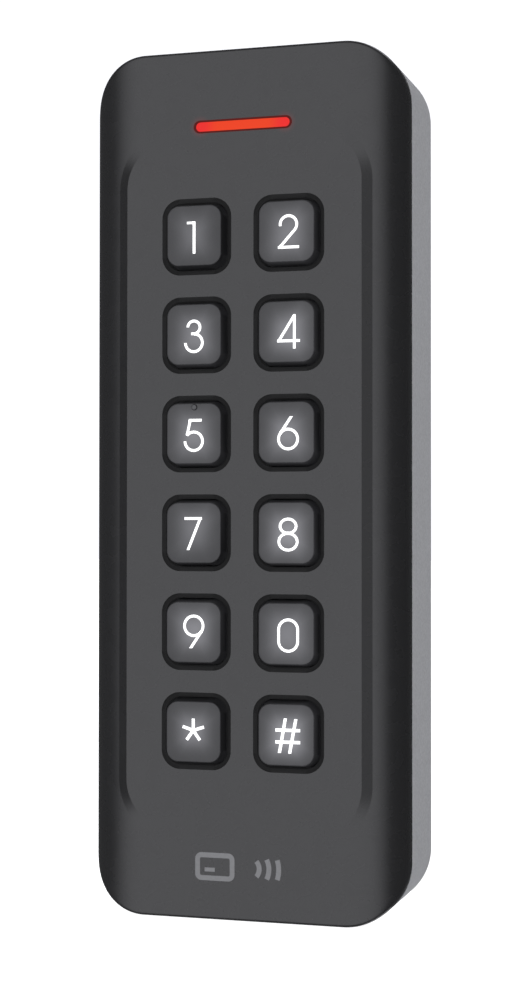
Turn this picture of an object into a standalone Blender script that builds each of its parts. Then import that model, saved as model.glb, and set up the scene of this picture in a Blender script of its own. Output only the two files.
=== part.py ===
"""Slim keypad access reader for a door mullion, as an assembly of separate pieces.

Metres, +Z up, +X to the right as seen by the person at the keys. The wall is the plane Y = 0 and
the keys face -Y, so a "depth" below is a distance in front of the wall and lies at Y = -depth.
The origin is the middle of the wall plate's back face.
"""

import math

import bmesh
import bpy

# ---- driving dimensions, in metres ---------------------------------------------------------------
HEIGHT = 0.130
WIDTH = 0.0493
CORNER = 0.0091             # radius of the outline's corners
PARTING = 0.0142            # depth where the rear housing ends and the front cover starts
PANEL = 0.0195              # depth of the flat front panel
GAP = 0.0003                # play between pieces that touch

SIDE_CURVE = 0.010          # how far the cover's curved sides reach in from its edges
WALL = 0.002                # thickness of the moulded walls
LIP_INSIDE = 0.00355        # from the outline to the inner face of the cover's lip
LIP_END = 0.0120            # depth where the lip stops, on the gasket

PANEL_WIDTH = 0.03652       # raised panel that carries the keys
PANEL_HEIGHT = 0.104
PANEL_CORNER = 0.0075
PANEL_CHAMFER = 0.00146     # width of the panel's sloping edge ...
PANEL_DROP = 0.00072        # ... over this depth

COLUMN_PITCH = 0.01435
ROW_PITCH = 0.01481
KEY_WINDOW = (0.00956, 0.01020)
WINDOW_CORNER = 0.0023
WINDOW_CHAMFER = 0.00065
KEY_BASE = (0.00896, 0.00956)
KEY_TOP = (0.00842, 0.00905)
KEY_TOP_CORNER = 0.00175
KEY_PROUD = 0.00130         # how far a key stands out of the panel
KEY_FLANGE = (0.0116, 0.0123)
KEY_FLANGE_THICK = 0.0009
PIP = (0.0001, 0.0039)      # place of the raised dot on the middle key, from the key's centre
PIP_RADIUS = 0.00042
PIP_PROUD = 0.0002

LIGHT_Z = 0.0535            # height of the light bar's centre line
LIGHT_SLOT = (0.0153, 0.0019)
LIGHT_LENS = (0.0147, 0.0013)
LIGHT_RECESS = 0.00045

FLOOR = (0.0021, 0.0041)    # depths of the rear housing's floor
LEDGE = 0.0102              # depth of the ledge that the gasket lies on
PLATE_THICK = 0.0018
BOARD = (0.0103, 0.0119)    # depths of the circuit board's two faces
MAT_SHEET = (0.0122, 0.0132)
DOME_TOP = 0.0160
DOME_ROOF = 0.0137

COVER_SCREW = (0.0166, 0.0571)
BOARD_SCREW = (0.0168, 0.0485)
CABLE_Z = -0.017
LOCK_DEPTH = 0.0070         # depth of the locking screw's axis
LOCK_SHOULDER = -0.0638     # height of the seat under its head
TAMPER = (0.012, -0.036)
TAMPER_PROUD = 0.0008       # how far the tamper plunger stands out of the back

KEY_NAMES = ("1", "2", "3", "4", "5", "6", "7", "8", "9", "0", "star", "hash")

# name: (colour, roughness, metallic)
FINISHES = {
    "charcoal": ((0.080, 0.080, 0.084), 0.45, 0.0),
    "silver": ((0.29, 0.295, 0.31), 0.40, 0.3),
    "zinc": ((0.55, 0.56, 0.57), 0.35, 1.0),
    "key": ((0.10, 0.10, 0.105), 0.40, 0.0),
    "silicone": ((0.75, 0.76, 0.74), 0.55, 0.0),
    "black_rubber": ((0.02, 0.02, 0.02), 0.70, 0.0),
    "carbon": ((0.03, 0.03, 0.03), 0.80, 0.0),
    "red_lens": ((0.80, 0.06, 0.04), 0.25, 0.0),
    "board": ((0.02, 0.10, 0.05), 0.40, 0.0),
    "copper": ((0.72, 0.35, 0.18), 0.30, 1.0),
    "chip": ((0.025, 0.025, 0.028), 0.50, 0.0),
    "led": ((0.85, 0.85, 0.80), 0.30, 0.0),
    "white_plastic": ((0.75, 0.74, 0.70), 0.45, 0.0),
    "black_plastic": ((0.03, 0.03, 0.03), 0.45, 0.0),
    "steel": ((0.60, 0.60, 0.60), 0.25, 1.0),
}


# ---- outlines and solids -------------------------------------------------------------------------
def rounded_rect(width, height, radius, centre=(0.0, 0.0), steps=4):
    """Points (x, z) of a rectangle with round corners, anticlockwise."""
    points = []
    for quarter, (side_x, side_z) in enumerate(((1, 1), (-1, 1), (-1, -1), (1, -1))):
        arc_x = centre[0] + side_x * (width / 2 - radius)
        arc_z = centre[1] + side_z * (height / 2 - radius)
        for step in range(steps + 1):
            angle = math.radians(90 * (quarter + step / steps))
            points.append((arc_x + radius * math.cos(angle), arc_z + radius * math.sin(angle)))
    return points


def circle(radius, centre=(0.0, 0.0), steps=20):
    """Points (x, z) of a circle whose flats, not its corners, lie on the radius."""
    outer = radius / math.cos(math.pi / steps)
    turns = [2 * math.pi * (step + 0.5) / steps for step in range(steps)]
    return [(centre[0] + outer * math.cos(a), centre[1] + outer * math.sin(a)) for a in turns]


def finish_mesh(name, mesh, finish, place=(0.0, 0.0, 0.0)):
    mesh.normal_update()
    data = bpy.data.meshes.new(name)
    mesh.to_mesh(data)
    mesh.free()
    data.shade_smooth()
    data.set_sharp_from_angle(angle=math.radians(35))
    body = bpy.data.objects.new(name, data)
    body.location = place
    bpy.context.collection.objects.link(body)
    if finish:
        colour, roughness, metallic = FINISHES[finish]
        material = bpy.data.materials.new(name)
        material.use_nodes = True
        shader = material.node_tree.nodes["Principled BSDF"]
        shader.inputs["Base Color"].default_value = (*colour, 1.0)
        shader.inputs["Roughness"].default_value = roughness
        shader.inputs["Metallic"].default_value = metallic
        data.materials.append(material)
    else:
        body.hide_render = True
        body.display_type = "WIRE"
    return body


def add_skin(mesh, rings):
    """Add one closed solid through rings of (x, y, z) points, all with the same number of points."""
    loops = [[mesh.verts.new(point) for point in ring] for ring in rings]
    faces = [mesh.faces.new(loops[0]), mesh.faces.new(loops[-1])]
    for low, high in zip(loops, loops[1:]):
        for i in range(len(low)):
            j = (i + 1) % len(low)
            faces.append(mesh.faces.new((low[i], low[j], high[j], high[i])))
    bmesh.ops.recalc_face_normals(mesh, faces=faces)


def add_loft(mesh, rings):
    """Add one closed solid through (outline, depth) rings that face the wall."""
    add_skin(mesh, [[(x, -depth, z) for x, z in outline] for outline, depth in rings])


def upright(name, rings):
    """A Boolean helper through (section, height) rings, each section in (x, depth)."""
    mesh = bmesh.new()
    add_skin(mesh, [[(x, -depth, z) for x, depth in section] for section, z in rings])
    return finish_mesh(name, mesh, None)


def loft(name, rings, finish=None, place=(0.0, 0.0, 0.0)):
    """A solid through its rings. Without a finish it is a helper for a Boolean."""
    mesh = bmesh.new()
    add_loft(mesh, rings)
    return finish_mesh(name, mesh, finish, place)


def prism(name, outline, back, front, finish=None, place=(0.0, 0.0, 0.0)):
    return loft(name, [(outline, back), (outline, front)], finish, place)


def prisms(name, outlines, back, front):
    """Several separate prisms in one Boolean helper."""
    mesh = bmesh.new()
    for outline in outlines:
        add_loft(mesh, [(outline, back), (outline, front)])
    return finish_mesh(name, mesh, None)


def block(name, size, centre, back, front, finish=None):
    half_x, half_z = size[0] / 2, size[1] / 2
    corners = ((half_x, half_z), (-half_x, half_z), (-half_x, -half_z), (half_x, -half_z))
    outline = [(centre[0] + x, centre[1] + z) for x, z in corners]
    return prism(name, outline, back, front, finish)


def combine(body, helper, operation):
    boolean = body.modifiers.new(helper.name, "BOOLEAN")
    boolean.operation = operation
    boolean.solver = "EXACT"
    boolean.object = helper


def add(body, helper):
    combine(body, helper, "UNION")


def cut(body, helper):
    combine(body, helper, "DIFFERENCE")


def mirrored(x, z):
    """The four places of a pattern that is symmetric about both middle lines."""
    return [(side_x * x, side_z * z) for side_z in (1, -1) for side_x in (-1, 1)]


def key_centres():
    for index, label in enumerate(KEY_NAMES):
        row, column = divmod(index, 2)
        yield label, (column - 0.5) * COLUMN_PITCH, (2.5 - row) * ROW_PITCH


def inset_outline(inset, radius, steps=6):
    """The object's outline moved in by inset, with its own corner radius."""
    return rounded_rect(WIDTH - 2 * inset, HEIGHT - 2 * inset, radius, steps=steps)


# ---- front cover ---------------------------------------------------------------------------------
def cover_profile(steps=8):
    """Half section (x, depth) of the cover: flat in the middle, a quarter ellipse at the side."""
    start = WIDTH / 2 - SIDE_CURVE
    rise = PANEL - PARTING
    points = []
    for step in range(steps + 1):
        angle = math.radians(90 * step / steps)
        points.append((start + SIDE_CURVE * math.sin(angle), PARTING + rise * math.cos(angle)))
    return points


def front_cover():
    outline = rounded_rect(WIDTH, HEIGHT, CORNER, steps=8)
    cover = prism("front_cover", outline, PARTING + GAP / 2, PANEL + 0.001, "charcoal")

    half = cover_profile()
    section = [(-x, depth) for x, depth in reversed(half)] + half
    section += [(WIDTH / 2, PARTING - 0.001), (-WIDTH / 2, PARTING - 0.001)]
    reach = HEIGHT / 2 + 0.001
    combine(cover, upright("cover_section", [(section, -reach), (section, reach)]), "INTERSECT")

    drop = 0.0015
    spread = PANEL_CHAMFER * drop / PANEL_DROP
    panel = rounded_rect(PANEL_WIDTH, PANEL_HEIGHT, PANEL_CORNER, steps=6)
    foot_size = (PANEL_WIDTH + 2 * spread, PANEL_HEIGHT + 2 * spread, PANEL_CORNER + spread)
    foot = rounded_rect(*foot_size, steps=6)
    add(cover, loft("raised_panel", [(foot, PANEL - drop), (panel, PANEL)]))

    lip = inset_outline(WALL + GAP, CORNER - WALL - GAP)
    add(cover, prism("cover_lip", lip, LIP_END, PARTING + 0.001))

    inside = inset_outline(LIP_INSIDE, CORNER - LIP_INSIDE)
    roof = inset_outline(LIP_INSIDE + WALL, CORNER - LIP_INSIDE - WALL)
    top = PANEL - WALL
    cut(cover, loft("cover_hollow", [(inside, LIP_END - 0.001), (inside, top - WALL), (roof, top)]))

    bosses = [circle(0.0030, place, 16) for place in mirrored(*COVER_SCREW)]
    add(cover, prisms("cover_bosses", bosses, 0.0078, top + 0.0006))
    posts = [circle(0.0023, place, 16) for place in mirrored(*BOARD_SCREW)]
    add(cover, prisms("board_posts", posts, BOARD[1] + GAP, top + 0.0004))
    pilots = [circle(0.0015, place, 12) for place in mirrored(*COVER_SCREW)]
    cut(cover, prisms("cover_pilots", pilots, 0.0068, 0.0149))
    pilots = [circle(0.0013, place, 12) for place in mirrored(*BOARD_SCREW)]
    cut(cover, prisms("post_pilots", pilots, 0.0109, 0.0164))

    mesh = bmesh.new()
    wide, tall = KEY_WINDOW
    chamfer = WINDOW_CHAMFER
    beyond = 0.0005
    for _, x, z in key_centres():
        hole = rounded_rect(wide, tall, WINDOW_CORNER, (x, z), 3)
        grow = 2 * (chamfer + beyond)
        mouth = rounded_rect(wide + grow, tall + grow, WINDOW_CORNER + grow / 2, (x, z), 3)
        add_loft(mesh, [(hole, top - 0.001), (hole, PANEL - chamfer), (mouth, PANEL + beyond)])
    cut(cover, finish_mesh("key_windows", mesh, None))

    slot = rounded_rect(*LIGHT_SLOT, LIGHT_SLOT[1] / 2 - 0.00001, (0, LIGHT_Z), 4)
    cut(cover, prism("light_slot", slot, top - 0.001, PANEL + 0.001))
    return cover


# ---- rear housing and wall plate -----------------------------------------------------------------
def rear_housing():
    outline = rounded_rect(WIDTH, HEIGHT, CORNER, steps=8)
    edge = inset_outline(0.0005, CORNER - 0.0005, steps=8)
    rim = PARTING - GAP / 2
    housing = loft("rear_housing", [(edge, 0.0), (outline, 0.0005), (outline, rim)], "silver")

    cut(housing, prism("rim_pocket", inset_outline(WALL, CORNER - WALL), LEDGE, rim + 0.001))
    cut(housing, prism("housing_hollow", inset_outline(0.0036, 0.0054), FLOOR[1], LEDGE + 0.001))
    cut(housing, prism("plate_pocket", inset_outline(0.003, 0.006), -0.001, FLOOR[0]))

    bosses = [circle(0.0034, place, 16) for place in mirrored(*COVER_SCREW)]
    add(housing, prisms("housing_bosses", bosses, FLOOR[1] - 0.001, 0.0075))
    heads = [circle(0.0026, place, 16) for place in mirrored(*COVER_SCREW)]
    cut(housing, prisms("head_pockets", heads, 0.0011, 0.0044))
    shafts = [circle(0.0016, place, 16) for place in mirrored(*COVER_SCREW)]
    cut(housing, prisms("shaft_holes", shafts, 0.0037, 0.0085))

    cut(housing, prism("cable_hole", circle(0.0047, (0, CABLE_Z), 24), 0.0011, 0.0051))
    cut(housing, prism("tamper_hole", circle(0.0015, TAMPER, 16), 0.0011, 0.0051))
    cut(housing, prism("tamper_seat", circle(0.0025, TAMPER, 16), 0.0029, 0.0051))

    slots = [rounded_rect(0.0078, 0.0050, 0.0006, (x, 0.0434), 2) for x in (-0.011, 0.011)]
    cut(housing, prisms("hook_slots", slots, 0.0011, 0.0051))
    cut(housing, block("lug_slot", (0.0090, 0.0070), (0, -0.0571), 0.0011, 0.0051))

    bore = circle(0.0018, (0, LOCK_DEPTH), 16)
    sink = circle(0.0030, (0, LOCK_DEPTH), 16)
    stations = [(bore, -0.0600), (bore, LOCK_SHOULDER), (sink, LOCK_SHOULDER), (sink, -0.0660)]
    cut(housing, upright("lock_screw_hole", stations))
    return housing


def wall_plate():
    plate_low, plate_high = -0.0572, 0.0602
    centre = (0, (plate_low + plate_high) / 2)
    outline = rounded_rect(0.0410, plate_high - plate_low, 0.0045, centre, 4)
    plate = prism("wall_plate", outline, 0.0, PLATE_THICK, "zinc")

    stem_top = 0.0456
    hook_front = FLOOR[1] + GAP + 0.0016
    for side in (-1, 1):
        stem = (side * 0.011, stem_top - 0.0008)
        add(plate, block(f"hook_stem_{side}", (0.007, 0.0016), stem, 0.001, hook_front))
        arm = (side * 0.011, stem_top + 0.001)
        add(plate, block(f"hook_arm_{side}", (0.007, 0.0040), arm, FLOOR[1] + GAP, hook_front))
    add(plate, block("lock_lug", (0.008, 0.0030), (0, -0.0570 + 0.0015), 0.001, 0.0100))

    box_slots = [rounded_rect(0.0042, 0.0080, 0.0020, (0, z), 4) for z in (-0.04165, 0.04165)]
    round_box_slots = [rounded_rect(0.0080, 0.0042, 0.0020, (0, z), 4) for z in (-0.030, 0.030)]
    cut(plate, prisms("screw_slots", box_slots + round_box_slots, -0.001, 0.003))
    cut(plate, prism("plate_cable_hole", circle(0.0063, (0, CABLE_Z), 24), -0.001, 0.003))
    cut(plate, prism("plate_tamper_hole", circle(0.0030, TAMPER, 16), -0.001, 0.003))

    thread = circle(0.0014, (0, LOCK_DEPTH), 12)
    cut(plate, upright("lug_thread", [(thread, -0.058), (thread, -0.053)]))
    return plate


# ---- seals, keys and keypad mat ------------------------------------------------------------------
def cover_gasket():
    outer = inset_outline(WALL + GAP, CORNER - WALL - GAP)
    inner = inset_outline(LIP_INSIDE, CORNER - LIP_INSIDE)
    gasket = prism("cover_gasket", outer, LEDGE + GAP, LIP_END - GAP, "black_rubber")
    cut(gasket, prism("gasket_middle", inner, LEDGE - 0.001, LIP_END + 0.001))
    return gasket


def cable_grommet():
    """Rubber ring with a groove that grips the edge of the housing's cable hole."""
    place = (0, CABLE_Z)
    flange = circle(0.0058, place, 24)
    neck = circle(0.0044, place, 24)
    back, front = FLOOR
    rings = [
        (flange, back - 0.0013), (flange, back - GAP), (neck, back - GAP),
        (neck, front + GAP), (flange, front + GAP), (flange, front + 0.0013),
    ]
    grommet = loft("cable_grommet", rings, "black_rubber")
    cut(grommet, prism("grommet_bore", circle(0.0032, place, 24), -0.001, 0.007))
    return grommet


def key(label, x, z):
    """A keycap: a flange behind the panel, a slightly tapered body and a round-edged top."""
    top = PANEL + KEY_PROUD
    edge = 0.0004
    flange_front = PANEL - WALL - GAP
    flange = rounded_rect(*KEY_FLANGE, 0.0028, steps=3)
    base = rounded_rect(*KEY_BASE, 0.0020, steps=3)
    brim = rounded_rect(*KEY_TOP, KEY_TOP_CORNER, steps=3)
    half_way = 0.3 * edge
    crown = rounded_rect(KEY_TOP[0] - 2 * half_way, KEY_TOP[1] - 2 * half_way, 0.0016, steps=3)
    face = rounded_rect(KEY_TOP[0] - 2 * edge, KEY_TOP[1] - 2 * edge, 0.0014, steps=3)
    rings = [
        (flange, flange_front - KEY_FLANGE_THICK), (flange, flange_front), (base, flange_front),
        (brim, top - edge), (crown, top - half_way), (face, top),
    ]
    cap = loft(f"key_{label}", rings, "key", (x, 0.0, z))
    if label == "5":
        spot = (x + PIP[0], z + PIP[1])
        wide, narrow = circle(PIP_RADIUS, spot, 12), circle(0.7 * PIP_RADIUS, spot, 12)
        middle = top + 0.4 * PIP_PROUD
        add(cap, loft("key_pip", [(wide, top - edge), (wide, middle), (narrow, top + PIP_PROUD)]))
    return cap


def contact_pill(label, x, z):
    pill = circle(0.0017, steps=12)
    return prism(f"contact_pill_{label}", pill, 0.0129, DOME_ROOF - GAP, "carbon", (x, 0.0, z))


def keypad_mat():
    """Silicone sheet with a hollow dome under each key and a pocket over each key light."""
    columns_wide = COLUMN_PITCH + 0.0142
    rows_tall = 5 * ROW_PITCH + 0.0150
    sheet = rounded_rect(columns_wide, rows_tall, 0.002, steps=3)
    mat = prism("keypad_mat", sheet, *MAT_SHEET, "silicone")
    domes = bmesh.new()
    hollows = bmesh.new()
    for _, x, z in key_centres():
        foot, head = circle(0.0050, (x, z), 16), circle(0.0034, (x, z), 16)
        add_loft(domes, [(foot, MAT_SHEET[0] + 0.0005), (head, 0.0142), (head, DOME_TOP)])
        foot, head = circle(0.0044, (x, z), 16), circle(0.0025, (x, z), 16)
        add_loft(hollows, [(foot, MAT_SHEET[0] - 0.0005), (head, DOME_ROOF)])
    add(mat, finish_mesh("mat_domes", domes, None))
    cut(mat, finish_mesh("mat_hollows", hollows, None))
    pockets = [rounded_rect(0.0024, 0.0030, 0.0004, (0, z), 2) for z in row_heights()]
    cut(mat, prisms("light_pockets", pockets, 0.0114, 0.0144))
    return mat


def row_heights():
    return [(2.5 - row) * ROW_PITCH for row in range(6)]


# ---- light bar -----------------------------------------------------------------------------------
def light_bar():
    inner = PANEL - WALL - GAP
    blade = rounded_rect(*LIGHT_LENS, LIGHT_LENS[1] / 2 - 0.00001, (0, LIGHT_Z), 4)
    foot = rounded_rect(0.0172, 0.0038, 0.0012, (0, LIGHT_Z), 4)
    rings = [(foot, inner - 0.0013), (foot, inner), (blade, inner), (blade, PANEL - LIGHT_RECESS)]
    loft("light_bar_lens", rings, "red_lens")

    back = BOARD[1] + GAP
    front = inner - 0.0013 - GAP
    outer = rounded_rect(0.0180, 0.0054, 0.0010, (0, LIGHT_Z), 2)
    shroud = prism("light_bar_shroud", outer, back, front, "black_plastic")
    middle = rounded_rect(0.0160, 0.0036, 0.0006, (0, LIGHT_Z), 2)
    cut(shroud, prism("shroud_middle", middle, back - 0.001, front + 0.001))

    for side, x in (("left", -0.004), ("right", 0.004)):
        block(f"status_led_{side}", (0.0030, 0.0026), (x, LIGHT_Z), back, back + 0.0012, "led")


# ---- circuit board and what it carries -----------------------------------------------------------
def main_board():
    board = prism("main_board", rounded_rect(0.0405, 0.1050, 0.003, steps=3), *BOARD, "board")
    tongue = rounded_rect(0.0230, 0.0120, 0.001, (0, 0.0515), 3)
    add(board, prism("board_tongue", tongue, BOARD[0], BOARD[1]))
    holes = [circle(0.0014, place, 12) for place in mirrored(*BOARD_SCREW)]
    cut(board, prisms("board_holes", holes, 0.0094, 0.0134))
    return board


def antenna_coil():
    face = BOARD[0] - GAP
    outer = rounded_rect(0.0360, 0.0380, 0.004, (0, 0.024), 4)
    inner = rounded_rect(0.0300, 0.0320, 0.002, (0, 0.024), 4)
    coil = prism("antenna_coil", outer, face - 0.0012, face, "copper")
    cut(coil, prism("antenna_middle", inner, face - 0.002, face + 0.001))
    return coil


def board_parts():
    """Parts soldered to the board's wall side, and the small lights on its key side."""
    face = BOARD[0] - GAP
    block("microcontroller", (0.0090, 0.0090), (-0.0065, 0.028), face - 0.0012, face, "chip")
    block("card_reader_chip", (0.0065, 0.0065), (0.0075, 0.017), face - 0.0010, face, "chip")
    buzzer = circle(0.0048, (-0.012, -0.006), 20)
    prism("buzzer", buzzer, face - 0.0050, face, "black_plastic")
    can = circle(0.0031, (0.013, -0.006), 16)
    prism("capacitor", can, face - 0.0052, face, "steel")
    front = BOARD[1] + GAP
    for row, z in enumerate(row_heights(), start=1):
        block(f"key_light_{row}", (0.0016, 0.0020), (0, z), front, front + 0.0007, "led")

    middle = (-0.004, -0.0465)
    header = block("cable_header", (0.0200, 0.0058), middle, face - 0.0052, face, "white_plastic")
    columns = [middle[0] + 0.00375 * (i - 2) for i in range(5)]
    wells = [rounded_rect(0.0034, 0.0040, 0.0002, (x, middle[1]), 1) for x in columns]
    cut(header, prisms("header_wells", wells, 0.0034, 0.0079))


# ---- tamper switch -------------------------------------------------------------------------------
def tamper_switch():
    face = BOARD[0] - GAP
    body = block("tamper_switch", (0.0060, 0.0060), TAMPER, 0.0076, face, "black_plastic")
    cut(body, prism("switch_bore", circle(0.0015, TAMPER, 16), 0.0064, 0.0097))

    rod = circle(0.0012, steps=16)
    collar = circle(0.0022, steps=16)
    tip = circle(0.0009, steps=16)
    rings = [
        (tip, -TAMPER_PROUD), (rod, -TAMPER_PROUD + 0.0003), (rod, 0.0032), (collar, 0.0032),
        (collar, 0.0039), (rod, 0.0039), (rod, 0.0083),
    ]
    loft("tamper_plunger", rings, "white_plastic", (TAMPER[0], 0.0, TAMPER[1]))


def tamper_spring():
    """Compression spring between the plunger's collar and the switch."""
    wire, radius, turns, steps = 0.0002, 0.00175, 3.5, 14
    low, high = 0.0039 + GAP + wire, 0.0076 - GAP - wire
    mesh = bmesh.new()
    rings = []
    count = int(turns * steps)
    for step in range(count + 1):
        turn = 2 * math.pi * step / steps
        depth = low + (high - low) * step / count
        ring = []
        for corner in range(6):
            angle = 2 * math.pi * corner / 6
            reach = radius + wire * math.cos(angle)
            rise = depth + wire * math.sin(angle)
            x, z = TAMPER[0] + reach * math.cos(turn), TAMPER[1] + reach * math.sin(turn)
            ring.append((x, -rise, z))
        rings.append(ring)
    add_skin(mesh, rings)
    return finish_mesh("tamper_spring", mesh, "steel")


# ---- screws --------------------------------------------------------------------------------------
def screw(name, place, head_radius, shaft_radius, head, tip):
    """A cross-head screw whose head faces the wall. Head and tip are its end depths."""
    head_end, shaft_end = head
    x, z = place
    cap = circle(head_radius, steps=14)
    rim = circle(head_radius - 0.0004, steps=14)
    shaft = circle(shaft_radius, steps=14)
    point = circle(shaft_radius * 0.5, steps=14)
    rings = [
        (rim, head_end), (cap, head_end + 0.0004), (cap, shaft_end),
        (shaft, shaft_end), (shaft, tip - 0.001), (point, tip),
    ]
    body = loft(name, rings, "steel", (x, 0.0, z))
    mesh = bmesh.new()
    arm, width = head_radius * 0.55, 0.0004
    cross = []
    for quarter in range(4):
        cosine, sine = round(math.cos(quarter * math.pi / 2)), round(math.sin(quarter * math.pi / 2))
        for u, v in ((arm, -width), (arm, width), (width, width)):
            cross.append((u * cosine - v * sine, u * sine + v * cosine))
    add_loft(mesh, [(cross, head_end - 0.001), (cross, head_end + 0.0008)])
    recess = finish_mesh(name + "_recess", mesh, None, (x, 0.0, z))
    cut(body, recess)
    return body


def screws():
    corners = ("top_left", "top_right", "bottom_left", "bottom_right")
    for corner, place in zip(corners, mirrored(*COVER_SCREW)):
        screw(f"cover_screw_{corner}", place, 0.0023, 0.00125, (0.0024, 0.0041), 0.0139)
    for corner, place in zip(corners, mirrored(*BOARD_SCREW)):
        screw(f"board_screw_{corner}", place, 0.0021, 0.0010, (0.0085, 0.0100), 0.0156)

    head, shaft = circle(0.0026, (0, LOCK_DEPTH), 16), circle(0.0011, (0, LOCK_DEPTH), 16)
    seat = LOCK_SHOULDER - GAP
    mesh = bmesh.new()
    sections = [(head, -0.0650), (head, seat), (shaft, seat), (shaft, -0.0545)]
    add_skin(mesh, [[(x, -depth, z) for x, depth in ring] for ring, z in sections])
    lock = finish_mesh("lock_screw", mesh, "steel")
    hexagon = circle(0.0011, (0, LOCK_DEPTH), 6)
    cut(lock, upright("lock_screw_hexagon", [(hexagon, -0.0660), (hexagon, -0.0643)]))


def main():
    for old in list(bpy.data.objects):
        bpy.data.objects.remove(old, do_unlink=True)
    front_cover()
    rear_housing()
    wall_plate()
    cover_gasket()
    cable_grommet()
    keypad_mat()
    for label, x, z in key_centres():
        key(label, x, z)
        contact_pill(label, x, z)
    light_bar()
    main_board()
    antenna_coil()
    board_parts()
    tamper_switch()
    tamper_spring()
    screws()


main()
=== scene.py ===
"""Looks of the keypad access reader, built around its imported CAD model.

Every piece sits in the CAD frame: +X right, +Z up, the wall at Y = 0 and the keys facing -Y.
A "depth" is a distance in front of the wall. Sizes below are in millimetres and turned into
metres where a mesh is made.
"""

import math

import bmesh
import bpy
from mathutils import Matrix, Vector
from mathutils.geometry import tessellate_polygon


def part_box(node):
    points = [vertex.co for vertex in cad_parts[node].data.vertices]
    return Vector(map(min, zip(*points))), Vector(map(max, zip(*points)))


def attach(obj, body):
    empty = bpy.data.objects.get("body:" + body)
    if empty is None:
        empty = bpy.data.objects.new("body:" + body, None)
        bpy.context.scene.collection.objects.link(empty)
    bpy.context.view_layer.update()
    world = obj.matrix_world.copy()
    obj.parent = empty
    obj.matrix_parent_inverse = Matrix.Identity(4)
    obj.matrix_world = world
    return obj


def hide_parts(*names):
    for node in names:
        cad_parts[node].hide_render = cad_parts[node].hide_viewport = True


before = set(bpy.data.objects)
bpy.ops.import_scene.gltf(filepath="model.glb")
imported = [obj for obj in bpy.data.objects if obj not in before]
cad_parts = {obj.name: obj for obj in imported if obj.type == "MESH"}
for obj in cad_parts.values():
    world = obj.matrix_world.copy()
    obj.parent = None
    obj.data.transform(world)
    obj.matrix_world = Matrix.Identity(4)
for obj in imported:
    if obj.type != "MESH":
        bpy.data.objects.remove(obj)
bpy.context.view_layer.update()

MM = 0.001
CASING = "casing"
KEYS = ("1", "2", "3", "4", "5", "6", "7", "8", "9", "0", "star", "hash")


def box_mm(node):
    """Lowest and highest corner of a CAD node, in millimetres."""
    low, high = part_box(node)
    return low / MM, high / MM


def middle_of(node):
    """Middle (x, z) of a CAD node seen from the front, in millimetres."""
    low, high = box_mm(node)
    return (low.x + high.x) / 2, (low.z + high.z) / 2


def mirrored(x, z):
    """The four places at these distances from the two middle lines."""
    return [(side_x * x, side_z * z) for side_z in (1, -1) for side_x in (-1, 1)]


# ---- sizes that follow the CAD model -------------------------------------------------------------
HALF_W, _, HALF_H = box_mm("rear_housing")[1]
PANEL = -box_mm("front_cover")[0].y     # depth of the front panel
PARTING = 14.2                          # depth of the joint between cover and housing
CORNER = 9.1                            # radius of the casing's corners, seen from the front
WALL = 2.0
SEAM = 0.05                             # half of the gap that shows at the joint

CURVE_REACH = 10.0                      # how far the rolled-back sides reach in
CURVE_DROP = PANEL - PARTING - 0.15     # and how far they fall
FLAT_HALF_W = HALF_W - CURVE_REACH      # inside this the whole front is flat
EDGE_ROUND = 0.50                       # of the rounded edge along the cover's outline
PARTING_WALL = 0.12                     # height of the straight wall in front of the joint
PANEL_HALF_W = 18.26                    # of the raised panel
PANEL_HALF_H = 52.0
PANEL_CORNER = 7.5
CHAMFER = 1.46                          # width of its sloping edge
ROW_KNEE = 52.6                         # mesh rows above this height follow the outline's corner
EDGE_ROWS = [HALF_H - inset for inset in (0.8, 0.5, 0.35, 0.22, 0.12, 0.05, 0.0)]
SIDE_STEPS = 30                         # mesh steps from the flat middle to the outline

WINDOW = (10.89, 11.51, 2.9)            # width, height and corner radius
COLLAR = (9.60, 10.10, 2.3)             # hole in the dark collar round a key
COLLAR_DEPTH = 0.22
KEY_TOP = (8.60, 9.14, 1.90)
KEY_BASE = (8.96, 9.56, 2.05)
CAP_DEPTH = PANEL + 1.28                # of a keycap's face
LEGEND_DEPTH = PANEL + 1.30
STROKE = 0.40                           # width of the digits' lines
BOLD = 0.46                             # and of the star's and the hash's

_, LIGHT_Z = middle_of("light_bar_shroud")
SLOT = (15.3, 1.9)
LENS = (14.64, 1.44)
LENS_END = LENS[0] / 2 - LENS[1] / 2    # middle of the lens's round ends
LENS_RECESS = 0.04

FLOOR_BACK, FLOOR_FRONT = 2.1, 4.1      # depths of the housing's floor
BACK_ROUND = 0.3                        # of the edge round the housing's back
PLATE_FRONT = 1.8
LEDGE = 10.2                            # depth of the ledge under the gasket
LIP_END = 12.0                          # depth where the cover's lip stops
LIP_GAP = 0.3                           # between the lip and the housing's wall
LIP_INSET = 3.55                        # from the outline to the inside of the lip
COVER_SCREWS = mirrored(16.6, 57.1)
BOARD_SCREWS = mirrored(16.8, 48.5)
CABLE_Z = -17.0                         # height of the cable hole
HOOK_X = 11.0                           # the plate's two hooks stand at plus and minus this
BOX_SCREW_Z = 41.65                     # the plate's upright screw slots
WIDE_SLOT_Z = 30.0                      # and its level ones
LOCK_DEPTH = 7.0                        # depth of the locking screw's axis
TAMPER = (12.0, -36.0)                  # place (x, z) of the tamper pin


# ---- outlines ------------------------------------------------------------------------------------
def rounded_rect(width, height, radius, centre=(0.0, 0.0), steps=10):
    """Points (x, z) of a rectangle with round corners, anticlockwise from the right side."""
    points = []
    quarters = ((1, 1), (-1, 1), (-1, -1), (1, -1))
    for quarter, (side_x, side_z) in enumerate(quarters):
        arc_x = centre[0] + side_x * (width / 2 - radius)
        arc_z = centre[1] + side_z * (height / 2 - radius)
        for step in range(steps + 1):
            angle = math.radians(90 * (quarter + step / steps))
            points.append((arc_x + radius * math.cos(angle), arc_z + radius * math.sin(angle)))
    return points


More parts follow.
